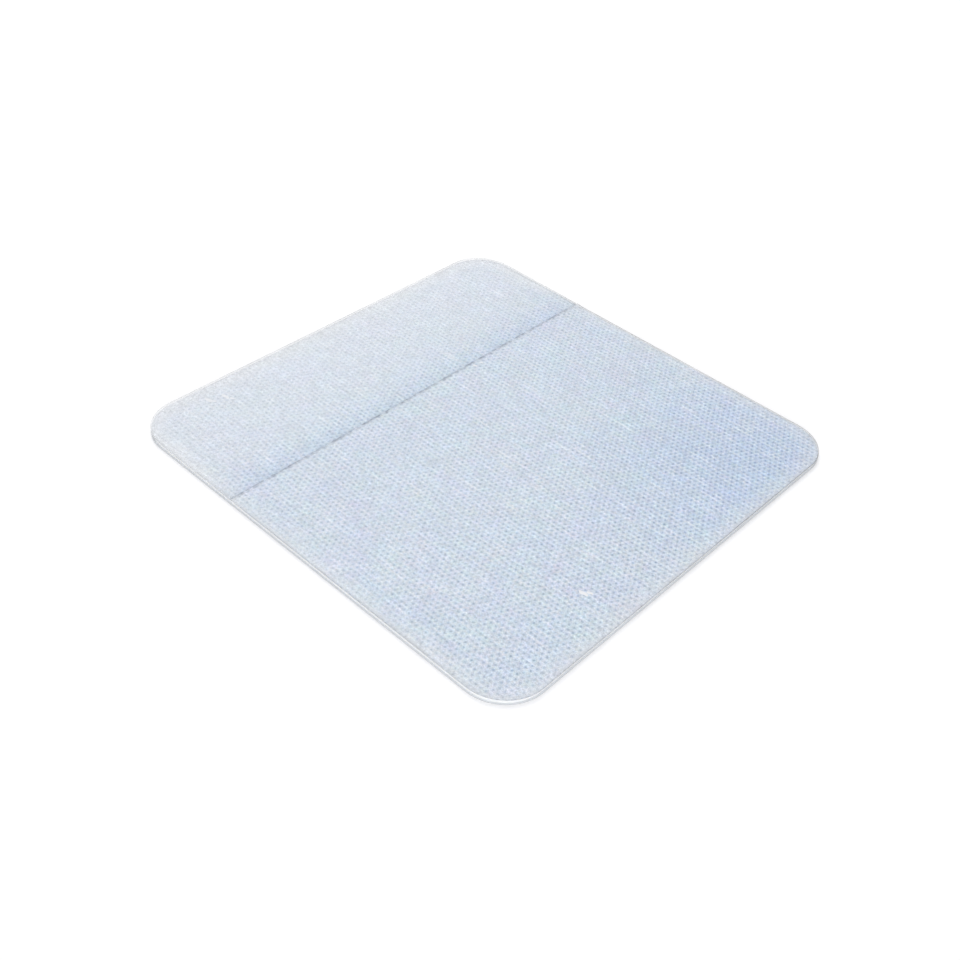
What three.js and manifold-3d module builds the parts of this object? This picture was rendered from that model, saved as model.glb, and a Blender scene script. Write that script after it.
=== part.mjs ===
// Hydrogel burn dressing: a square, round-cornered laminate that lies flat on its backing film.
// Millimetres, +Z up, with the origin at the middle of the underside.
// X runs across the slit in the release film, from its short part to its long part.
// Y runs along the slit.

import * as THREE from 'three';
import { mergeVertices } from 'three/addons/utils/BufferGeometryUtils.js';
import Module from 'manifold-3d';

const wasm = await Module();
wasm.setup();

// Die-cut outline, shared by every layer
const padWidth = 100;
const padLength = 100;
const cornerRadius = 9;
const cornerSteps = 14;

// Backing film under the gel
const backingThickness = 0.1;

// Gel slab, which shrinks back from the cut and bulges a little at half height
const gelThickness = 0.7;
const gelSetback = 0.35;
const gelBulge = 0.15;
const gelBulgeSteps = 3;

// Mesh on the gel: rows of thread across the slit, joined by a thin web
const meshSetback = 0.2;
const webThickness = 0.08;
const threadRise = 0.14;
const threadPitch = 1.04;
const threadWidth = 0.66;
const threadCrown = 0.24;
const shoulderSteps = 2;
const gapWidth = 0.26;
const gapMargin = 2.4;

// Release film over the mesh, cut into a short and a long part by one straight slit
const linerThickness = 0.1;
const shortPartWidth = 30.6;
const slitWidth = 0.4;
const bubbleHeight = 0.3;
const bubbleSeat = 1.2;
const bubbleRise = 6.5;
const tabEdgeRise = 0.14;
const tabEdgeFall = 5;
const lipHeight = 0.13;
const lipWidth = 1.7;
const filmCurveSteps = 8;

// Levels at which the layers meet, worked out from the stack
const gelBottom = backingThickness;
const meshBottom = gelBottom + gelThickness;
const linerBottom = meshBottom + webThickness + threadRise;
const padEdge = padWidth / 2;
const slitStart = -padEdge + shortPartWidth;
const slitEnd = slitStart + slitWidth;

const axisX = new THREE.Vector3(1, 0, 0);
const axisY = new THREE.Vector3(0, 1, 0);
const axisZ = new THREE.Vector3(0, 0, 1);

// A closed geometry as a solid that can be cut and joined
function solidOf(geometry) {
  const plain = geometry.clone();
  plain.deleteAttribute('normal');
  plain.deleteAttribute('uv');
  const merged = mergeVertices(plain, 1e-5);
  const mesh = new wasm.Mesh({
    numProp: 3,
    vertProperties: new Float32Array(merged.attributes.position.array),
    triVerts: new Uint32Array(merged.index.array),
  });
  return new wasm.Manifold(mesh);
}

// A solid back as a geometry with one normal to each facet
function geometryOf(solid) {
  const { vertProperties, triVerts } = solid.getMesh();
  const indexed = new THREE.BufferGeometry();
  indexed.setAttribute('position', new THREE.BufferAttribute(new Float32Array(vertProperties), 3));
  indexed.setIndex(new THREE.BufferAttribute(new Uint32Array(triVerts), 1));
  const facets = indexed.toNonIndexed();
  facets.computeVertexNormals();
  return facets;
}

// The die-cut square with round corners, drawn inwards by setback
function padOutline(setback) {
  const halfWidth = padWidth / 2 - setback;
  const halfLength = padLength / 2 - setback;
  const radius = cornerRadius - setback;
  const right = halfWidth - radius;
  const far = halfLength - radius;
  const quarter = Math.PI / 2;
  const outline = new THREE.Shape();
  outline.absarc(right, far, radius, 0, quarter);
  outline.absarc(-right, far, radius, quarter, 2 * quarter);
  outline.absarc(-right, -far, radius, 2 * quarter, 3 * quarter);
  outline.absarc(right, -far, radius, 3 * quarter, 4 * quarter);
  outline.closePath();
  return outline;
}

// A flat layer of that outline
function flatLayer(outline, bottom, thickness) {
  const geometry = new THREE.ExtrudeGeometry(outline, {
    depth: thickness,
    bevelEnabled: false,
    curveSegments: cornerSteps,
  });
  geometry.translate(0, 0, bottom);
  return geometry;
}

// Half the length of a straight line across the outline at one Y, along X
function halfSpan(y, setback) {
  const halfWidth = padWidth / 2 - setback;
  const radius = cornerRadius - setback;
  const pastCorner = Math.abs(y) - (padLength / 2 - setback - radius);
  if (pastCorner <= 0) {
    return halfWidth;
  }
  if (pastCorner >= radius) {
    return 0;
  }
  return halfWidth - radius + Math.sqrt(radius * radius - pastCorner * pastCorner);
}

// Places of the thread rows along Y, spread evenly about the middle
function threadPlaces() {
  const usable = padLength - 2 * meshSetback - threadWidth;
  const count = Math.floor(usable / threadPitch) + 1;
  const first = (-(count - 1) * threadPitch) / 2;
  return Array.from({ length: count }, (_, row) => first + row * threadPitch);
}

// Section of the mesh in Y and Z: a thin web with one round-shouldered ridge for each thread row
function meshSection() {
  const webTop = meshBottom + webThickness;
  const halfLength = padLength / 2 - meshSetback;
  const shoulder = (threadWidth - threadCrown) / 2;
  const section = new THREE.Shape();
  section.moveTo(-halfLength, meshBottom);
  section.lineTo(halfLength, meshBottom);
  section.lineTo(halfLength, webTop);
  for (const place of threadPlaces().reverse()) {
    const crownEnd = threadCrown / 2;
    for (let step = 0; step <= shoulderSteps; step += 1) {
      const turn = (step / shoulderSteps) * (Math.PI / 2);
      section.lineTo(place + crownEnd + shoulder * Math.cos(turn), webTop + threadRise * Math.sin(turn));
    }
    for (let step = shoulderSteps; step >= 0; step -= 1) {
      const turn = (step / shoulderSteps) * (Math.PI / 2);
      section.lineTo(place - crownEnd - shoulder * Math.cos(turn), webTop + threadRise * Math.sin(turn));
    }
  }
  section.lineTo(-halfLength, webTop);
  section.closePath();
  return section;
}

// The mesh's outline, with one long gap in each valley between two thread rows
function meshOutline() {
  const outline = padOutline(meshSetback);
  const places = threadPlaces();
  for (let row = 1; row < places.length; row += 1) {
    const middle = (places[row - 1] + places[row]) / 2;
    const reach = halfSpan(Math.abs(middle) + gapWidth / 2, meshSetback) - gapMargin;
    if (reach < cornerRadius) {
      continue;
    }
    const gap = new THREE.Path();
    gap.moveTo(-reach, middle - gapWidth / 2);
    gap.lineTo(-reach, middle + gapWidth / 2);
    gap.lineTo(reach, middle + gapWidth / 2);
    gap.lineTo(reach, middle - gapWidth / 2);
    gap.closePath();
    outline.holes.push(gap);
  }
  return outline;
}

// Mesh: the ridged section run along X, cut to the outline and pierced between its rows
function supportMesh() {
  const ridges = new THREE.ExtrudeGeometry(meshSection(), { depth: padWidth, bevelEnabled: false });
  ridges.applyMatrix4(new THREE.Matrix4().makeBasis(axisY, axisZ, axisX));
  ridges.translate(-padEdge, 0, 0);
  const height = linerBottom - meshBottom;
  const cutter = flatLayer(meshOutline(), meshBottom - height, 3 * height);
  return geometryOf(solidOf(ridges).intersect(solidOf(cutter)));
}

// Gel slab: its rim stands back from the films, and half its height bulges towards them
function gelSlab() {
  const rimHeight = gelThickness / 2;
  const geometry = new THREE.ExtrudeGeometry(padOutline(gelSetback), {
    depth: gelThickness - 2 * rimHeight,
    bevelEnabled: true,
    bevelThickness: rimHeight,
    bevelSize: gelBulge,
    bevelSegments: gelBulgeSteps,
    curveSegments: cornerSteps,
  });
  geometry.translate(0, 0, gelBottom + rimHeight);
  return geometry;
}

// A smooth step from 0 to 1
function ease(share) {
  const t = Math.min(Math.max(share, 0), 1);
  return t * t * (3 - 2 * t);
}

// A strip of release film between two places along X, lifted off the mesh by lift(x)
function filmStrip(places, lift) {
  const section = new THREE.Shape();
  const lower = places.map((x) => new THREE.Vector2(x, linerBottom + lift(x)));
  const upper = places.map((x) => new THREE.Vector2(x, linerBottom + lift(x) + linerThickness));
  section.setFromPoints([...lower, ...upper.reverse()]);
  section.closePath();
  const strip = new THREE.ExtrudeGeometry(section, { depth: padLength, bevelEnabled: false });
  strip.applyMatrix4(new THREE.Matrix4().makeBasis(axisX, axisZ, axisY.clone().negate()));
  strip.translate(0, padLength / 2, 0);
  const height = bubbleHeight + linerThickness;
  const cutter = flatLayer(padOutline(0), linerBottom - height, 3 * height);
  return geometryOf(solidOf(strip).intersect(solidOf(cutter)));
}

// Even steps from one place to another, both ends included
function evenSteps(from, to, steps) {
  return Array.from({ length: steps + 1 }, (_, step) => from + ((to - from) * step) / steps);
}

// Short part: pressed down beside the slit, then standing off the mesh on a shallow bubble of air
function shortLiner() {
  const seatEdge = slitStart - bubbleSeat;
  const bubbleTop = seatEdge - bubbleRise;
  const fallStart = -padEdge + tabEdgeFall;
  const lift = (x) => {
    const raised = bubbleHeight * ease((seatEdge - x) / bubbleRise);
    const fallen = (bubbleHeight - tabEdgeRise) * ease((fallStart - x) / tabEdgeFall);
    return raised - fallen;
  };
  const places = [
    ...evenSteps(-padEdge, fallStart, filmCurveSteps),
    ...evenSteps(bubbleTop, seatEdge, filmCurveSteps),
    slitStart,
  ];
  return filmStrip(places, lift);
}

// Long part: flat on the mesh, with its cut edge curled up into a low lip along the slit
function longLiner() {
  const lipFoot = slitEnd + lipWidth;
  const lift = (x) => lipHeight * ease((lipFoot - x) / lipWidth);
  const places = [...evenSteps(slitEnd, lipFoot, filmCurveSteps), padEdge];
  return filmStrip(places, lift);
}

// One named piece in its own colour and finish
function piece(name, geometry, look) {
  const mesh = new THREE.Mesh(geometry, new THREE.MeshStandardMaterial(look));
  mesh.name = name;
  return mesh;
}

const filmLook = { color: 0xdfe7f1, roughness: 0.3, metalness: 0, transparent: true, opacity: 0.4 };
const backingLook = { color: 0xe6ebf0, roughness: 0.45, metalness: 0 };
const gelLook = { color: 0xa9c4e6, roughness: 0.35, metalness: 0, transparent: true, opacity: 0.85 };
const meshLook = { color: 0xdbe4f0, roughness: 0.8, metalness: 0 };

const dressing = new THREE.Group();
dressing.name = 'hydrogel_burn_dressing';
dressing.add(piece('backing_film', flatLayer(padOutline(0), 0, backingThickness), backingLook));
dressing.add(piece('gel_sheet', gelSlab(), gelLook));
dressing.add(piece('support_mesh', supportMesh(), meshLook));
dressing.add(piece('release_film_short', shortLiner(), filmLook));
dressing.add(piece('release_film_long', longLiner(), filmLook));

export default dressing;
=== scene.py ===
"""Hydrogel burn dressing, dressed for the picture: a pale blue gel slab under a fine knitted mesh,
with a clear release film in two parts over it, lying on its backing film.

Metres, in the part's own frame: X runs across the slit from the short film to the long one,
Y runs along the slit, and Z is up from the surface that the dressing lies on."""

import math

import bmesh
import bpy
from mathutils import Matrix, Vector, noise


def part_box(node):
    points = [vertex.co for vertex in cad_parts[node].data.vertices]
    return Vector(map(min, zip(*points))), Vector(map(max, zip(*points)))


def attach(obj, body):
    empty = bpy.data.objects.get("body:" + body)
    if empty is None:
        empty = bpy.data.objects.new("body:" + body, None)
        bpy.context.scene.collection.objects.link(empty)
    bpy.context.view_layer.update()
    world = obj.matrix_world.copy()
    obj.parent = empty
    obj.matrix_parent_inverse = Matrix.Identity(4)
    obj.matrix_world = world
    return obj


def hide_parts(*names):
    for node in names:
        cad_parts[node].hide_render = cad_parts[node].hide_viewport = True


MM = 0.001

# Outline of the die cut
CORNER_RADIUS = 9 * MM
CORNER_SIDES = 14

# Knitted mesh: rows along X, one row each ROW_PITCH along Y, every second row half a hole on
HOLE_PITCH = 1.111 * MM
ROW_PITCH = 1.04 * MM
STEPS_PER_HOLE = 4
STEPS_PER_ROW = 2
ROW_SLANT = 0.017
MESH_SETBACK = 0.2 * MM
MESH_SPARE = 3 * MM
MESH_CLEARANCE = 0.015 * MM
PIT_DEPTH = 0.13 * MM
THREAD_WANDER = 0.16 * MM
WANDER_SIZE = 14 * MM
SWELL_SIZE = 3 * MM
SWELL_HEIGHT = 0.01 * MM
SWELL_SHARE = 0.25

# Film over the mesh
FILM_THICKNESS = 0.1 * MM
FILM_STEP = 0.6 * MM
BUBBLE_HEIGHT = 0.3 * MM
BUBBLE_SEAT = 1.2 * MM
SEAT_UNEVEN = 0.6
BUBBLE_RISE = 6.5 * MM
BUBBLE_CLOSE = 6 * MM
BUBBLE_AT_ENDS = 0.2
TAB_EDGE_RISE = 0.14 * MM
TAB_EDGE_FALL = 5 * MM
LIP_HEIGHT = 0.13 * MM
LIP_WIDTH = 1.7 * MM
LIP_UNEVEN = 0.35

# Gel slab: how far its rim rounds over, and how far it runs in and out
GEL_ROUNDING = 0.16 * MM
GEL_RIM_STEPS = 4
GEL_RIM_PIECE = 1.4 * MM
GEL_RIM_UNEVEN = 0.02 * MM
SHARP_ANGLE = 1.0

# White slubs in the mesh: place in X and Y, length along X, width
SLUBS = (
    (40.8, -20.0, 2.1, 0.8),
    (41.6, -19.1, 1.2, 0.6),
    (-45.8, -34.6, 2.0, 1.0),
    (-44.8, -34.0, 1.0, 0.7),
    (-44.6, -31.4, 2.2, 0.9),
    (-43.2, -30.8, 1.1, 0.6),
    (-18.2, 14.6, 1.1, 0.6),
    (-18.0, 16.4, 0.8, 0.5),
    (-13.7, -26.5, 1.0, 0.4),
    (-2.1, 46.6, 1.1, 0.4),
)

SLUB_HEIGHT = 0.05 * MM
SLUB_CLEARANCE = 0.003 * MM
SLUB_BEND = 0.12 * MM
SLUB_BEND_LENGTH = 0.3 * MM

# Where the mesh changes colour, in millimetres on the dressing or from the middle of the slit
BLUEST_PLACE = (42.0, 32.0)
BLUEST_REACH = 44.0
PALE_RIM_WIDTH = 5.0
BUBBLE_SIDE = (-22.5, -30.0)
WET_AND_SHADED_BAND = (-5.0, -1.0)
SLIT_SHADE_REACH = (0.1, 0.45)
SLIT_WANDER = 0.16

# Colours of the wetted mesh, in the 0 to 255 steps of a picture
THREAD = (204, 216, 231)
THREAD_WHERE_BLUEST = (190, 207, 230)
DRY_THREAD = (236, 239, 244)
GEL_IN_HOLE = (150, 173, 200)
GEL_IN_HOLE_WHERE_BLUEST = (138, 162, 200)
# partly painted shade: the bluer band left of the slit, where the film slopes down to it
WET_AND_SHADED_BLUE = (160, 186, 210)
# painted shadow in the slit between the two film parts
SLIT_SHADE = (120, 134, 156)
PALE_RIM = (232, 233, 233)
# painted sheen: the pale colour that the mesh takes towards the left end, under the softbox's broad sheen
SHEEN_PALE_AT_LEFT = (244, 245, 248)
LONG_STREAK = (240, 242, 247)

# Share of the mesh that the film hides
SHORT_FILM_HAZE = 0.06
BUBBLE_HAZE = 0.16
BUBBLE_HAZE_CURVE = 0.8
SHORT_RIM_HAZE = 0.1
SHORT_RIM_WIDTH = 9 * MM
LONG_FILM_HAZE = 0.14
LONG_FILM_CLEARING = 0.1
LIP_HAZE = 0.25
LONG_RIM_HAZE = 0.06
LONG_RIM_WIDTH = 5 * MM
HAZE_UNEVEN = 0.03

# Lights, aimed at the middle of the dressing: place, size and power
KEY_SOFTBOX = ((-0.26, 0.2, 0.46), 0.3, 1.5)
LOW_FILL = ((0.42, -0.5, 0.16), 0.4, 2.9)
SKY_LIGHT = 0.5
SKY_SEEN = 1.0
TABLE_HALF_WIDTH = 4.0
TABLE_GLOW = 0.3

# Camera of the photograph, measured from the dressing's middle
CAMERA_PLACE = (119.97 * MM, -145.18 * MM, 153.45 * MM)
CAMERA_AZIMUTH = 39.96
CAMERA_DOWN = 41.19
CAMERA_ROLL = 5.116
CAMERA_LENS = 45.31
CAMERA_SENSOR = 36.0

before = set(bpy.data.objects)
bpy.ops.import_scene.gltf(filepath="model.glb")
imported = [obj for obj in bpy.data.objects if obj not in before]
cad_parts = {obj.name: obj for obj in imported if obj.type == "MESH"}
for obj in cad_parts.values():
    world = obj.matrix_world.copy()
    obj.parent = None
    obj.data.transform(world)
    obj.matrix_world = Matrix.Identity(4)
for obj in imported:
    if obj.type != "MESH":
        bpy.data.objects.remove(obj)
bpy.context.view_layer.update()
PAD_LOW, PAD_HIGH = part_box("backing_film")
GEL_LOW, GEL_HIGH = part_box("gel_sheet")
MESH_LOW, MESH_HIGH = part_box("support_mesh")
SHORT_LOW, SHORT_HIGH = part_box("release_film_short")
LONG_LOW, LONG_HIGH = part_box("release_film_long")
SLIT_MIDDLE = (SHORT_HIGH.x + LONG_LOW.x) / 2


def linear(red, green, blue, alpha=1.0):
    """A colour given in the 0 to 255 steps of a picture, as the linear values that a shader takes."""
    parts = []
    for value in (red, green, blue):
        share = value / 255
        parts.append(share / 12.92 if share <= 0.04045 else ((share + 0.055) / 1.055) ** 2.4)
    return (*parts, alpha)


def ease(share):
    """A smooth step from 0 to 1."""
    t = min(max(share, 0.0), 1.0)
    return t * t * (3 - 2 * t)


def ripple(x, y, size, seed):
    """Smooth unevenness from about -1 to 1, with hills of the given size."""
    return noise.noise(Vector((x / size, y / size, seed)))


class Recipe:
    """A material under construction: its nodes, and short ways to add and join them."""

    def __init__(self, name):
        self.material = bpy.data.materials.new(name)
        self.material.use_nodes = True
        self.tree = self.material.node_tree
        self.tree.nodes.clear()
        self.output = self.tree.nodes.new("ShaderNodeOutputMaterial")
        self.coordinates = self.tree.nodes.new("ShaderNodeTexCoord")

    def put(self, socket, value):
        """Joins a socket to another one, or sets its value."""
        if isinstance(value, bpy.types.NodeSocket):
            self.tree.links.new(value, socket)
        elif value is not None:
            socket.default_value = value

    def add(self, kind, settings=None, **inputs):
        """A new node, with its own settings and what goes into its sockets."""
        node = self.tree.nodes.new(kind)
        for name, value in (settings or {}).items():
            setattr(node, name, value)
        for name, value in inputs.items():
            self.put(node.inputs[name.replace("_", " ")], value)
        return node

    def math(self, operation, first, second=None, third=None):
        node = self.tree.nodes.new("ShaderNodeMath")
        node.operation = operation
        for socket, value in zip(node.inputs, (first, second, third)):
            self.put(socket, value)
        return node.outputs[0]

    def mix(self, share, first, second):
        node = self.tree.nodes.new("ShaderNodeMix")
        node.data_type = "RGBA"
        self.put(node.inputs["Factor"], share)
        self.put(node.inputs[6], first)
        self.put(node.inputs[7], second)
        return node.outputs[2]

    def remap(self, value, low, high, to_low=0.0, to_high=1.0, smooth=False):
        node = self.tree.nodes.new("ShaderNodeMapRange")
        node.interpolation_type = "SMOOTHSTEP" if smooth else "LINEAR"
        for socket, item in zip(node.inputs, (value, low, high, to_low, to_high)):
            self.put(socket, item)
        return node.outputs[0]

    def noise(self, vector, scale, detail, roughness):
        settings = {"Vector": vector, "Scale": scale, "Detail": detail, "Roughness": roughness}
        return self.add("ShaderNodeTexNoise", None, **settings)

    def cloud(self, vector, scale, detail=2.0, roughness=0.5):
        return self.noise(vector, scale, detail, roughness).outputs["Fac"]

    def coloured_cloud(self, vector, scale, detail, roughness):
        return self.noise(vector, scale, detail, roughness).outputs["Color"]

    def stretched(self, vector, scale, offset=(0, 0, 0)):
        return self.add("ShaderNodeMapping", None, Vector=vector, Scale=scale, Location=offset).outputs[0]

    def millimetres(self):
        """Places on the dressing, in millimetres, in the part's own frame."""
        return self.stretched(self.coordinates.outputs["Object"], (1000, 1000, 1000))

    def parts(self, vector):
        return self.add("ShaderNodeSeparateXYZ", None, Vector=vector).outputs[:]

    def near(self, x, y, middle_x, middle_y, reach):
        """1 at a place, falling to 0 at the given distance."""
        side = self.math("POWER", self.math("ABSOLUTE", self.math("SUBTRACT", x, middle_x)), 2.0)
        along = self.math("POWER", self.math("ABSOLUTE", self.math("SUBTRACT", y, middle_y)), 2.0)
        distance = self.math("SQRT", self.math("ADD", side, along))
        return self.remap(distance, 0.0, reach, 1.0, 0.0, smooth=True)

    def tinted(self, colour, tint, strength):
        """A colour made a little lighter or darker in each channel by a tint that averages half."""
        scaled = self.add("ShaderNodeVectorMath", {"operation": "MULTIPLY_ADD"})
        self.put(scaled.inputs[0], tint)
        scaled.inputs[1].default_value = (2 * strength,) * 3
        scaled.inputs[2].default_value = (1 - strength,) * 3
        product = self.add("ShaderNodeVectorMath", {"operation": "MULTIPLY"})
        self.put(product.inputs[0], colour)
        self.put(product.inputs[1], scaled.outputs[0])
        return product.outputs[0]

    def attribute(self, name):
        return self.add("ShaderNodeAttribute", {"attribute_name": name}).outputs["Fac"]

    def bump(self, height, strength, distance, normal=None):
        node = self.add("ShaderNodeBump", None, Height=height, Strength=strength, Distance=distance)
        self.put(node.inputs["Normal"], normal)
        return node.outputs[0]

    def principled(self, settings, **inputs):
        shader = self.tree.nodes.new("ShaderNodeBsdfPrincipled")
        for name, value in settings.items():
            shader.inputs[name].default_value = value
        for name, value in inputs.items():
            self.put(shader.inputs[name.replace("_", " ")], value)
        self.tree.links.new(shader.outputs[0], self.output.inputs["Surface"])
        return self.material


def hole_pattern(recipe):
    """Height of the staggered lattice, from -1.5 on the thread to 3 in the middle of a hole,
    read from the mesh's own map, which counts holes along a row and rows across."""
    parts = recipe.add("ShaderNodeSeparateXYZ", None, Vector=recipe.coordinates.outputs["UV"])
    holes, rows = parts.outputs["X"], parts.outputs["Y"]
    turn = 2 * math.pi
    along_rows = recipe.math("COSINE", recipe.math("MULTIPLY", rows, turn))
    across = recipe.math("COSINE", recipe.math("MULTIPLY", holes, turn))
    stagger = recipe.math("COSINE", recipe.math("MULTIPLY", rows, math.pi))
    product = recipe.math("MULTIPLY", recipe.math("MULTIPLY", across, stagger), 2.0)
    return recipe.math("ADD", along_rows, product)


def row_wave(recipe):
    """Light between the rows of holes and dark along them, from 0 to 1."""
    rows = recipe.add("ShaderNodeSeparateXYZ", None, Vector=recipe.coordinates.outputs["UV"]).outputs["Y"]
    wave = recipe.math("COSINE", recipe.math("MULTIPLY", rows, 2 * math.pi))
    return recipe.math("MULTIPLY_ADD", wave, -0.5, 0.5)


def knitted_mesh_material():
    """White thread wetted by blue gel: blue gel in the holes, paler and darker rows, and soft
    patches of lilac and cyan where the thread takes up more or less gel."""
    recipe = Recipe("wetted_knit")
    place = recipe.millimetres()
    map_place = recipe.coordinates.outputs["UV"]
    x, y, _ = recipe.parts(place)
    holes = hole_pattern(recipe)
    rim = recipe.remap(recipe.attribute("inset"), 0.0, PALE_RIM_WIDTH, 1.0, 0.0, smooth=True)
    left = recipe.remap(x, *BUBBLE_SIDE, 0.0, 1.0, smooth=True)

    fuzz = recipe.cloud(place, 2.4, 3.0)
    blotch = recipe.cloud(place, 0.9, 2.0)
    hole_size = recipe.remap(fuzz, 0.3, 0.7, 1.4, -0.2)
    core = recipe.remap(holes, hole_size, 2.8, 0.0, 1.0, smooth=True)
    gel_share = recipe.math("MULTIPLY", core, recipe.remap(blotch, 0.32, 0.68, 0.4, 1.0))

    streak = recipe.cloud(recipe.stretched(map_place, (0.4, 1.4, 1.0)), 1.0, 3.0)
    crown = recipe.remap(holes, -0.3, -1.5, 0.0, 1.0, smooth=True)
    white = recipe.math("MULTIPLY", crown, recipe.remap(streak, 0.4, 0.62, 0.0, 1.0))

    blue = recipe.near(x, y, *BLUEST_PLACE, BLUEST_REACH)
    thread = recipe.mix(blue, linear(*THREAD), linear(*THREAD_WHERE_BLUEST))
    thread = recipe.mix(recipe.math("MULTIPLY", white, 0.6), thread, linear(*DRY_THREAD))
    gel = recipe.mix(blue, linear(*GEL_IN_HOLE), linear(*GEL_IN_HOLE_WHERE_BLUEST))
    colour = recipe.mix(gel_share, thread, gel)

    colour = recipe.tinted(colour, recipe.coloured_cloud(place, 0.6, 3.0, 0.7), 0.1)
    colour = recipe.tinted(colour, recipe.coloured_cloud(place, 0.16, 1.0, 0.4), 0.05)

    beside = recipe.math("SUBTRACT", x, SLIT_MIDDLE / MM)
    # Partly painted shade: a bluer band in patches just left of the slit, where the film slopes down away
    # from the light; it is also the mesh soaked bluer where the film presses on it.
    wet_and_shaded = recipe.remap(beside, *WET_AND_SHADED_BAND, 0.0, 1.0, smooth=True)
    wet_and_shaded = recipe.math("MULTIPLY", wet_and_shaded, recipe.math("LESS_THAN", beside, 0.0))
    patches = recipe.remap(recipe.cloud(place, 0.3, 2.0), 0.3, 0.7, 0.06, 0.3)
    wet_and_shaded = recipe.math("MULTIPLY", wet_and_shaded, patches)
    colour = recipe.mix(wet_and_shaded, colour, linear(*WET_AND_SHADED_BLUE))
    # Painted shadow: a dark line, broken into dashes, along the slit where the gap between the film parts
    # lies in shade.
    along_slit = recipe.cloud(recipe.stretched(place, (0.0, 1.0, 0.0)), 0.7, 2.0)
    wander = recipe.remap(along_slit, 0.3, 0.7, -SLIT_WANDER, SLIT_WANDER)
    off_line = recipe.math("ABSOLUTE", recipe.math("ADD", beside, wander))
    line = recipe.remap(off_line, *SLIT_SHADE_REACH, 1.0, 0.0, smooth=True)
    beads = recipe.remap(recipe.cloud(place, 0.9, 2.0), 0.38, 0.62, 0.06, 0.88)
    colour = recipe.mix(recipe.math("MULTIPLY", line, beads), colour, linear(*SLIT_SHADE))

    margin = recipe.math("MULTIPLY", rim, recipe.math("MULTIPLY_ADD", left, 0.3, 0.3))
    colour = recipe.mix(margin, colour, linear(*PALE_RIM))
    # Painted sheen: the mesh grows paler towards the left end, right up to its edge, where the softbox's
    # broad sheen lies; the film's bubble lies over the inner part of it.
    lifted = recipe.math("MULTIPLY", left, recipe.remap(x, -25.0, -50.0, 0.14, 0.4))
    colour = recipe.mix(lifted, colour, linear(*SHEEN_PALE_AT_LEFT))
    long_streak = recipe.cloud(recipe.stretched(place, (0.1, 1.1, 1.0)), 1.0, 2.0)
    long_streak = recipe.remap(long_streak, 0.6, 0.72, 0.0, 0.4)
    colour = recipe.mix(long_streak, colour, linear(*LONG_STREAK))
    short_streak = recipe.cloud(recipe.stretched(place, (0.5, 1.0, 1.0)), 1.6, 1.0)
    colour = recipe.tinted(colour, short_streak, 0.19)
    colour = recipe.tinted(colour, recipe.cloud(place, 3.8, 1.0), 0.4)
    colour = recipe.tinted(colour, row_wave(recipe), 0.02)

    fibre_map = recipe.stretched(map_place, (2.5, 16.0, 1.0))
    fibres = recipe.cloud(fibre_map, 1.0, 3.0)
    thread_height = recipe.remap(holes, -1.5, 3.0, 1.0, 0.0)
    normal = recipe.bump(fibres, 0.3, 0.03 * MM)
    normal = recipe.bump(thread_height, 0.4, 0.07 * MM, normal)
    roughness = recipe.remap(core, 0.0, 1.0, 0.62, 0.3)
    settings = {"Specular IOR Level": 0.35, "Sheen Weight": 0.15, "Sheen Roughness": 0.6}
    return recipe.principled(settings, Base_Color=colour, Roughness=roughness, Normal=normal)


def release_film_material():
    """Clear film, milky where air lies under it and clear where the wet mesh touches it, with a pale
    strip where it passes the rim of the mesh and a fine grey line there, painted to stand for the dark
    cut edge and the shade beside it."""
    recipe = Recipe("clear_release_film")
    place = recipe.millimetres()
    x, y, _ = recipe.parts(place)
    inset = recipe.attribute("inset")
    uneven = recipe.remap(recipe.cloud(place, 0.25, 3.0), 0.3, 0.7, 0.85, 1.15)
    alpha = recipe.math("MULTIPLY", recipe.attribute("haze"), uneven)
    strip = recipe.remap(recipe.cloud(place, 0.12, 2.0), 0.35, 0.6, 0.05, 0.22)
    near_rim = recipe.remap(inset, 0.5, 1.1, 1.0, 0.0, smooth=True)
    alpha = recipe.math("ADD", alpha, recipe.math("MULTIPLY", near_rim, strip))
    # Painted shade: a fine grey line just inside the outline, for the dark cut edge and the shade beside
    # it; fainter towards the left end and towards -Y.
    line = recipe.remap(inset, 0.12, 0.3, 1.0, 0.0, smooth=True)
    line = recipe.math("MULTIPLY", line, recipe.remap(x, -26.0, -16.0, 0.25, 1.0))
    line = recipe.math("MULTIPLY", line, recipe.remap(y, -40.0, 30.0, 0.5, 1.15))
    alpha = recipe.math("ADD", alpha, recipe.math("MULTIPLY", line, 0.11))
    colour = recipe.mix(line, linear(243, 245, 248), linear(170, 170, 172))
    grain = recipe.cloud(place, 2.6, 2.0)
    normal = recipe.bump(grain, 0.12, 0.02 * MM)
    settings = {"Specular IOR Level": 0.5, "IOR": 1.5}
    roughness = recipe.remap(grain, 0.3, 0.7, 0.28, 0.4)
    return recipe.principled(
        settings, Base_Color=colour, Alpha=alpha, Roughness=roughness, Normal=normal
    )


def cut_edge_material():
    """The film's cut edge, a little greyer than its face because light leaves it sideways."""
    recipe = Recipe("film_cut_edge")
    nicks = recipe.cloud(recipe.millimetres(), 0.7, 3.0)
    colour = recipe.mix(nicks, linear(224, 226, 229), linear(242, 243, 244))
    settings = {"Specular IOR Level": 0.5, "Roughness": 0.35, "Alpha": 0.6}
    return recipe.principled(settings, Base_Color=colour)


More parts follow.
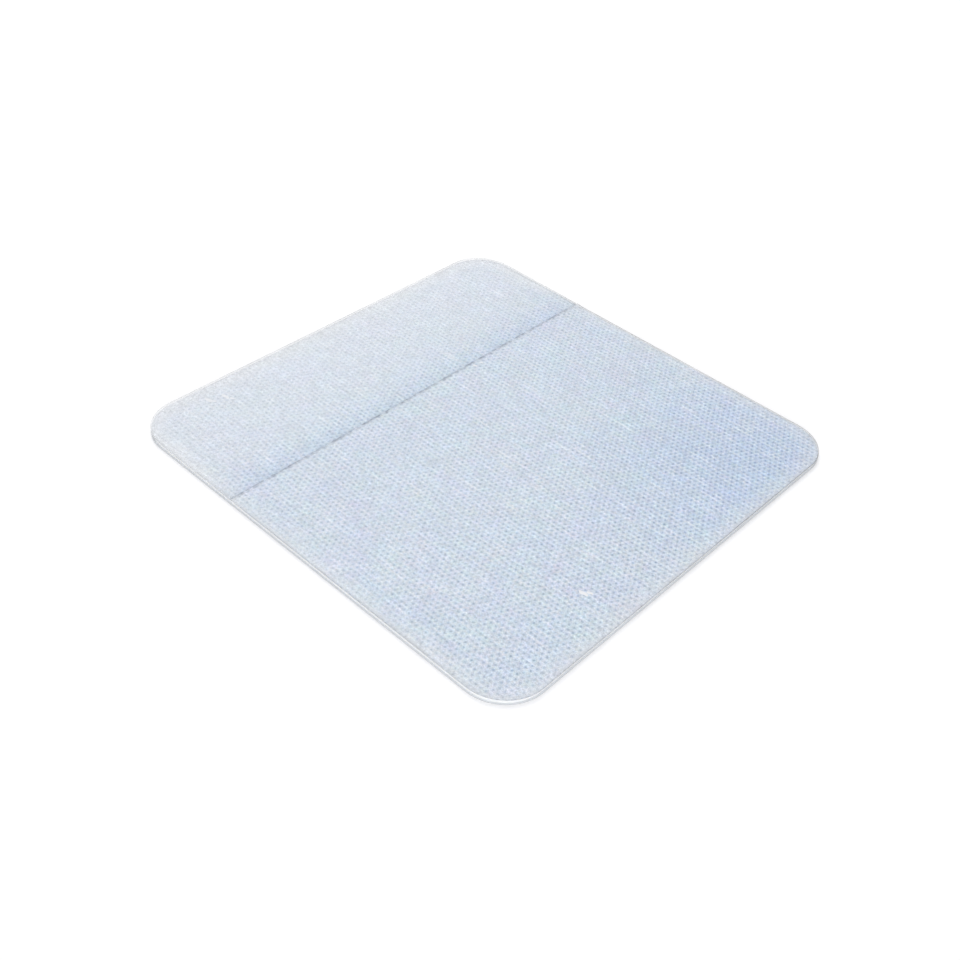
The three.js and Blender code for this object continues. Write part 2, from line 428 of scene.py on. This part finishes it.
def gel_material():
    """Moist translucent gel, seen at the side wall and through the film at the rim."""
    recipe = Recipe("blue_hydrogel")
    place = recipe.millimetres()
    cloudy = recipe.cloud(place, 0.3, 3.0)
    colour = recipe.mix(cloudy, linear(227, 231, 236), linear(238, 240, 242))
    beads = recipe.cloud(place, 1.5, 2.0)
    normal = recipe.bump(beads, 0.3, 0.04 * MM)
    settings = {
        "Roughness": 0.4,
        "Specular IOR Level": 0.4,
        "Subsurface Weight": 0.25,
        "Subsurface Radius": (0.9 * MM, 1.0 * MM, 1.3 * MM),
        "Subsurface Scale": 1.0,
    }
    return recipe.principled(settings, Base_Color=colour, Normal=normal)


def backing_film_material():
    """Thin satin backing film, whitish, with the gel showing faintly through it."""
    recipe = Recipe("satin_backing_film")
    place = recipe.millimetres()
    faint = recipe.cloud(place, 0.13, 3.0)
    colour = recipe.mix(faint, linear(232, 236, 241), linear(240, 242, 245))
    grain = recipe.cloud(place, 2.2, 2.0)
    normal = recipe.bump(grain, 0.2, 0.02 * MM)
    settings = {"Roughness": 0.42, "Specular IOR Level": 0.4}
    return recipe.principled(settings, Base_Color=colour, Normal=normal)


def slub_material():
    """Loose white thread that the gel hasn't soaked."""
    recipe = Recipe("white_slub")
    place = recipe.millimetres()
    strands = recipe.cloud(recipe.stretched(place, (1.0, 5.0, 1.0)), 1.5, 2.0)
    colour = recipe.mix(strands, linear(232, 235, 241), linear(249, 249, 251))
    normal = recipe.bump(strands, 0.5, 0.05 * MM)
    settings = {"Roughness": 0.7, "Specular IOR Level": 0.3}
    return recipe.principled(settings, Base_Color=colour, Normal=normal)


def floor_material():
    """Pale table: plain white to the camera, with the dressing's soft shadow kept on it."""
    recipe = Recipe("pale_table")
    light_path = recipe.add("ShaderNodeLightPath")
    rays = light_path.outputs
    seen = recipe.math("MAXIMUM", rays["Is Camera Ray"], rays["Is Glossy Ray"])
    seen = recipe.math("MAXIMUM", seen, rays["Is Transmission Ray"])
    glowing = recipe.math("MULTIPLY", seen, TABLE_GLOW)
    lit = recipe.add("ShaderNodeBsdfDiffuse", None, Color=linear(226, 226, 228))
    glow = recipe.add("ShaderNodeEmission", None, Color=(1, 1, 1, 1), Strength=glowing)
    both = recipe.tree.nodes.new("ShaderNodeAddShader")
    recipe.tree.links.new(lit.outputs[0], both.inputs[0])
    recipe.tree.links.new(glow.outputs[0], both.inputs[1])
    recipe.tree.links.new(both.outputs[0], recipe.output.inputs["Surface"])
    return recipe.material


def finished(name, bm, materials, smooth=True):
    """Turns a bmesh into a named object at the origin, with its faces pointing out."""
    bmesh.ops.recalc_face_normals(bm, faces=bm.faces[:])
    mesh = bpy.data.meshes.new(name)
    bm.to_mesh(mesh)
    bm.free()
    for material in materials:
        mesh.materials.append(material)
    if smooth:
        mesh.shade_smooth()
    piece = bpy.data.objects.new(name, mesh)
    bpy.context.scene.collection.objects.link(piece)
    return piece


def cut_off(bm, elements, place, direction):
    """Removes what lies past a plane."""
    bmesh.ops.bisect_plane(
        bm, geom=elements, plane_co=place, plane_no=direction, dist=1e-9, clear_outer=True
    )


def beyond(bm, test):
    """The faces with a corner that passes the test, with their edges and corners."""
    faces = [face for face in bm.faces if any(test(vert.co) for vert in face.verts)]
    edges = {edge for face in faces for edge in face.edges}
    verts = {vert for face in faces for vert in face.verts}
    return [*verts, *edges, *faces]


def round_corner(bm, half_x, half_y, radius, sign_x, sign_y):
    """Cuts one corner round, as a fan of short straight cuts."""
    centre = Vector((sign_x * (half_x - radius), sign_y * (half_y - radius), 0))
    turn = math.pi / 2 / CORNER_SIDES
    reach = radius * math.cos(turn / 2)
    for side in range(CORNER_SIDES):
        angle = (side + 0.5) * turn
        direction = Vector((sign_x * math.cos(angle), sign_y * math.sin(angle), 0))
        place = centre + direction * reach
        elements = beyond(
            bm, lambda co: (co.x - centre.x) * sign_x > 0 and (co.y - centre.y) * sign_y > 0
        )
        cut_off(bm, elements, place, direction)


def flat_grid(bm, low_x, high_x, low_y, high_y, step_x, step_y):
    """An even flat grid between two corners."""
    columns = max(1, round((high_x - low_x) / step_x))
    rows = max(1, round((high_y - low_y) / step_y))
    bmesh.ops.create_grid(bm, x_segments=columns, y_segments=rows, size=0.5)
    size = Vector((high_x - low_x, high_y - low_y, 1))
    bmesh.ops.scale(bm, vec=size, verts=bm.verts)
    middle = Vector(((low_x + high_x) / 2, (low_y + high_y) / 2, 0))
    bmesh.ops.translate(bm, vec=middle, verts=bm.verts)


def thicken_down(bm, level):
    """Closes a sheet from below: its edge is drawn down to a level and the underside is filled."""
    border = [edge for edge in bm.edges if edge.is_boundary]
    drawn = bmesh.ops.extrude_edge_only(bm, edges=border)["geom"]
    for item in drawn:
        if isinstance(item, bmesh.types.BMVert):
            item.co.z = level
    foot = [edge for edge in bm.edges if edge.is_boundary]
    bmesh.ops.holes_fill(bm, edges=foot, sides=0)


def edge_distance(x, y, half_x, half_y, radius):
    """How far a point lies inside the round-cornered outline."""
    side_x = abs(x) - (half_x - radius)
    side_y = abs(y) - (half_y - radius)
    outside = math.hypot(max(side_x, 0), max(side_y, 0))
    return radius - outside - min(max(side_x, side_y), 0)


def store(piece, name, value_at):
    """Keeps a value for each corner of the mesh, as an attribute that the material reads."""
    attribute = piece.data.attributes.new(name, "FLOAT", "POINT")
    values = [value_at(vert.co) for vert in piece.data.vertices]
    attribute.data.foreach_set("value", values)


def inset_at(place):
    """How far a place lies inside the die-cut outline, in millimetres."""
    return edge_distance(place.x, place.y, PAD_HIGH.x, PAD_HIGH.y, CORNER_RADIUS) / MM


def pit_at(holes, rows):
    """Depth of the mesh's relief, 0 on the thread and 1 in a hole."""
    across = math.cos(2 * math.pi * holes) * math.cos(math.pi * rows)
    height = math.cos(2 * math.pi * rows) + 2 * across
    return ease((height - 0.2) / 2.6)


def knitted_mesh(material):
    """The mesh: one sheet of staggered holes, wandering a little as soft knit does, with a flat
    back."""
    half_x, half_y = MESH_HIGH.x, MESH_HIGH.y
    crown = MESH_HIGH.z - MESH_CLEARANCE
    step_x = HOLE_PITCH / STEPS_PER_HOLE
    step_y = ROW_PITCH / STEPS_PER_ROW
    spare_x = step_x * math.ceil((half_x + MESH_SPARE) / step_x)
    spare_y = step_y * math.ceil((half_y + MESH_SPARE) / step_y)
    bm = bmesh.new()
    flat_grid(bm, -spare_x, spare_x, -spare_y, spare_y, step_x, step_y)
    lattice = bm.loops.layers.uv.new("holes_and_rows")
    for face in bm.faces:
        for loop in face.loops:
            place = loop.vert.co
            loop[lattice].uv = (place.x / HOLE_PITCH, place.y / ROW_PITCH)
    for vert in bm.verts:
        x, y = vert.co.x, vert.co.y
        pit = pit_at(x / HOLE_PITCH, y / ROW_PITCH)
        swell = ripple(x, y, SWELL_SIZE, 4.0)
        vert.co.z = crown - PIT_DEPTH * pit * (1 + SWELL_SHARE * swell) - SWELL_HEIGHT * (1 + swell)
        vert.co.x += THREAD_WANDER * ripple(x, y, WANDER_SIZE, 1.0)
        vert.co.y += THREAD_WANDER * ripple(x, y, WANDER_SIZE, 2.0) + ROW_SLANT * x
    sides = (((1, 0, 0), half_x), ((-1, 0, 0), half_x), ((0, 1, 0), half_y), ((0, -1, 0), half_y))
    for direction, reach in sides:
        normal = Vector(direction)
        limit = reach - MESH_SPARE / 2
        elements = beyond(bm, lambda co: co.dot(normal) > limit)
        cut_off(bm, elements, normal * reach, normal)
    for sign_x in (-1, 1):
        for sign_y in (-1, 1):
            round_corner(bm, half_x, half_y, CORNER_RADIUS - MESH_SETBACK, sign_x, sign_y)
    thicken_down(bm, MESH_LOW.z)
    piece = finished("knitted_mesh", bm, [material])
    store(piece, "inset", inset_at)
    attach(piece, "root")
    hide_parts("support_mesh")
    return piece


def short_film_lift(x, y):
    """Height of the short film over the mesh: pressed down beside the slit, then on a bubble of
    air that closes towards both ends."""
    seat = SHORT_HIGH.x - BUBBLE_SEAT * (1 + SEAT_UNEVEN * ripple(x, y, 9 * MM, 7.0))
    raised = BUBBLE_HEIGHT * ease((seat - x) / BUBBLE_RISE)
    fall_start = SHORT_LOW.x + TAB_EDGE_FALL
    fallen = (BUBBLE_HEIGHT - TAB_EDGE_RISE) * ease((fall_start - x) / TAB_EDGE_FALL)
    open_share = ease((SHORT_HIGH.y - abs(y)) / BUBBLE_CLOSE)
    return (raised - fallen) * (BUBBLE_AT_ENDS + (1 - BUBBLE_AT_ENDS) * open_share)


def long_film_lift(x, y):
    """Height of the long film over the mesh: flat, with a low lip along the slit."""
    width = LIP_WIDTH * (1 + LIP_UNEVEN * ripple(x, y, 8 * MM, 9.0))
    return LIP_HEIGHT * ease((LONG_LOW.x + width - x) / width)


def release_film(name, node, lift, haze, materials):
    """One part of the release film, with its cut edge in a finish of its own."""
    low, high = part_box(node)
    bm = bmesh.new()
    flat_grid(bm, low.x, high.x, low.y, high.y, FILM_STEP, FILM_STEP)
    sign_x = -1 if low.x < PAD_LOW.x + MM else 1
    for sign_y in (-1, 1):
        round_corner(bm, PAD_HIGH.x, PAD_HIGH.y, CORNER_RADIUS, sign_x, sign_y)
    for vert in bm.verts:
        vert.co.z = MESH_HIGH.z + lift(vert.co.x, vert.co.y)
    upper = bmesh.ops.extrude_face_region(bm, geom=bm.faces[:])["geom"]
    raised = [item for item in upper if isinstance(item, bmesh.types.BMVert)]
    bmesh.ops.translate(bm, vec=Vector((0, 0, FILM_THICKNESS)), verts=raised)
    bmesh.ops.recalc_face_normals(bm, faces=bm.faces[:])
    for face in bm.faces:
        face.material_index = 1 if abs(face.normal.z) < 0.5 else 0
        face.smooth = face.material_index == 0
    piece = finished(name, bm, materials, smooth=False)
    store(piece, "haze", lambda co: haze(co.x, co.y))
    store(piece, "inset", inset_at)
    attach(piece, "root")
    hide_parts(node)
    return piece


def one_wall(share):
    """Haze of one surface of the film, when both together hide this share."""
    return 1 - math.sqrt(1 - min(max(share, 0.0), 0.95))


def rim_share(x, y, width):
    """1 at the outline, falling to 0 at the given width inside it."""
    return 1 - ease(edge_distance(x, y, PAD_HIGH.x, PAD_HIGH.y, CORNER_RADIUS) / width)


def short_film_haze(x, y):
    """Milky over the bubble and at the rim."""
    lifted = (short_film_lift(x, y) / BUBBLE_HEIGHT) ** BUBBLE_HAZE_CURVE
    share = SHORT_FILM_HAZE + BUBBLE_HAZE * lifted
    share += SHORT_RIM_HAZE * rim_share(x, y, SHORT_RIM_WIDTH)
    share += HAZE_UNEVEN * ripple(x, y, 11 * MM, 21.0)
    return one_wall(share)


def long_film_haze(x, y):
    """Clearer and clearer away from the slit, and milky over the lip and at the rim."""
    away = ease((x + 0.3 * PAD_HIGH.x) / (1.3 * PAD_HIGH.x))
    share = LONG_FILM_HAZE - LONG_FILM_CLEARING * away
    curled = long_film_lift(x, y) / LIP_HEIGHT
    share += LIP_HAZE * curled * (0.6 + 0.6 * ripple(x, y, 13 * MM, 33.0))
    share += LONG_RIM_HAZE * rim_share(x, y, LONG_RIM_WIDTH)
    share += HAZE_UNEVEN * ripple(x, y, 12 * MM, 27.0)
    return one_wall(share)


def gel_slab(material):
    """The gel: a soft slab whose rim rounds over and runs a little unevenly."""
    low, high = GEL_LOW, GEL_HIGH
    radius = CORNER_RADIUS - (PAD_HIGH.x - high.x)
    height = high.z - low.z
    bm = bmesh.new()
    flat_grid(bm, -high.x, high.x, -high.y, high.y, GEL_RIM_PIECE, GEL_RIM_PIECE)
    for sign_x in (-1, 1):
        for sign_y in (-1, 1):
            round_corner(bm, high.x, high.y, radius, sign_x, sign_y)
    for vert in bm.verts:
        vert.co.z = low.z
    upper = bmesh.ops.extrude_face_region(bm, geom=bm.faces[:])["geom"]
    raised = [item for item in upper if isinstance(item, bmesh.types.BMVert)]
    bmesh.ops.translate(bm, vec=Vector((0, 0, height)), verts=raised)
    level = [edge for edge in bm.edges if edge.verts[0].co.z == edge.verts[1].co.z]
    rims = [edge for edge in level if edge.calc_face_angle(0) > SHARP_ANGLE]
    bmesh.ops.bevel(
        bm,
        geom=rims,
        offset=GEL_ROUNDING,
        segments=GEL_RIM_STEPS,
        profile=0.5,
        affect="EDGES",
        material=-1,
    )
    for vert in bm.verts:
        place = vert.co
        inside = edge_distance(place.x, place.y, high.x, high.y, radius)
        if inside < GEL_ROUNDING + 0.01 * MM:
            pull = GEL_RIM_UNEVEN * (1 + ripple(place.x, place.y, 4 * MM, 11.0))
            reach = math.hypot(place.x, place.y)
            place.x -= pull * place.x / reach
            place.y -= pull * place.y / reach
    piece = finished("gel_slab", bm, [material])
    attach(piece, "root")
    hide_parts("gel_sheet")
    return piece


def backing(material, edge_material):
    """The backing film under the gel, flat on the table."""
    low, high = PAD_LOW, PAD_HIGH
    bm = bmesh.new()
    flat_grid(bm, low.x, high.x, low.y, high.y, 5 * MM, 5 * MM)
    for sign_x in (-1, 1):
        for sign_y in (-1, 1):
            round_corner(bm, high.x, high.y, CORNER_RADIUS, sign_x, sign_y)
    upper = bmesh.ops.extrude_face_region(bm, geom=bm.faces[:])["geom"]
    raised = [item for item in upper if isinstance(item, bmesh.types.BMVert)]
    bmesh.ops.translate(bm, vec=Vector((0, 0, high.z)), verts=raised)
    bmesh.ops.recalc_face_normals(bm, faces=bm.faces[:])
    for face in bm.faces:
        face.material_index = 1 if abs(face.normal.z) < 0.5 else 0
    piece = finished("backing_sheet", bm, [material, edge_material], smooth=False)
    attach(piece, "root")
    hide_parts("backing_film")
    return piece


def slubs(material):
    """Thick white places in the knit, pressed flat under the film."""
    top = MESH_HIGH.z
    bm = bmesh.new()
    for x, y, length, width in SLUBS:
        sphere = bmesh.ops.create_uvsphere(bm, u_segments=20, v_segments=10, radius=0.5)
        made = sphere["verts"]
        size = Vector((length * MM, width * MM, SLUB_HEIGHT))
        bmesh.ops.scale(bm, vec=size, verts=made)
        for vert in made:
            vert.co.y += SLUB_BEND * math.sin(vert.co.x / SLUB_BEND_LENGTH)
        place = Vector((x * MM, y * MM, top - size.z / 2 - SLUB_CLEARANCE))
        bmesh.ops.translate(bm, vec=place, verts=made)
    piece = finished("mesh_slubs", bm, [material])
    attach(piece, "root")
    return piece


def table():
    """The pale table that the dressing lies on."""
    bm = bmesh.new()
    bmesh.ops.create_grid(bm, x_segments=1, y_segments=1, size=TABLE_HALF_WIDTH)
    floor = finished("pale_table", bm, [floor_material()], smooth=False)


def soft_light(name, place, size, power):
    """A square softbox, turned towards the middle of the dressing."""
    lamp = bpy.data.lights.new(name, "AREA")
    lamp.shape = "SQUARE"
    lamp.size = size
    lamp.energy = power
    holder = bpy.data.objects.new(name, lamp)
    holder.location = place
    holder.rotation_euler = (-Vector(place)).to_track_quat("-Z", "Y").to_euler()
    bpy.context.scene.collection.objects.link(holder)


def studio():
    """Even pale surroundings, one large softbox over the far left of the dressing, and a low
    fill in front that lights its side walls."""
    world = bpy.data.worlds.new("pale_studio")
    world.use_nodes = True
    bpy.context.scene.world = world
    tree = world.node_tree
    tree.nodes.clear()
    output = tree.nodes.new("ShaderNodeOutputWorld")
    path = tree.nodes.new("ShaderNodeLightPath")
    seen = tree.nodes.new("ShaderNodeMath")
    seen.operation = "MAXIMUM"
    tree.links.new(path.outputs["Is Camera Ray"], seen.inputs[0])
    tree.links.new(path.outputs["Is Transmission Ray"], seen.inputs[1])
    strength = tree.nodes.new("ShaderNodeMapRange")
    strength.inputs["To Min"].default_value = SKY_LIGHT
    strength.inputs["To Max"].default_value = SKY_SEEN
    tree.links.new(seen.outputs[0], strength.inputs["Value"])
    sky = tree.nodes.new("ShaderNodeBackground")
    sky.inputs["Color"].default_value = (1, 1, 1, 1)
    tree.links.new(strength.outputs[0], sky.inputs["Strength"])
    tree.links.new(sky.outputs[0], output.inputs["Surface"])
    soft_light("key_softbox", *KEY_SOFTBOX)
    soft_light("low_fill", *LOW_FILL)


def photograph_camera():
    """The photograph's own viewpoint: from in front and to the right, looking well down."""
    data = bpy.data.cameras.new("photograph")
    data.lens = CAMERA_LENS
    data.sensor_width = CAMERA_SENSOR
    data.clip_start = 0.01
    data.clip_end = 20
    holder = bpy.data.objects.new("photograph", data)
    turn = Matrix.Rotation(math.radians(CAMERA_AZIMUTH), 4, "Z")
    tip = Matrix.Rotation(math.radians(90 - CAMERA_DOWN), 4, "X")
    roll = Matrix.Rotation(math.radians(CAMERA_ROLL), 4, "Z")
    holder.matrix_world = Matrix.Translation(CAMERA_PLACE) @ turn @ tip @ roll
    bpy.context.scene.collection.objects.link(holder)
    bpy.context.scene.camera = holder


film, cut_edge = release_film_material(), cut_edge_material()
backing(backing_film_material(), cut_edge)
gel_slab(gel_material())
knitted_mesh(knitted_mesh_material())
slubs(slub_material())
finish = [film, cut_edge]
release_film("short_release_film", "release_film_short", short_film_lift, short_film_haze, finish)
release_film("long_release_film", "release_film_long", long_film_lift, long_film_haze, finish)
table()
studio()
photograph_camera()
bpy.context.scene.view_settings.view_transform = "Standard"
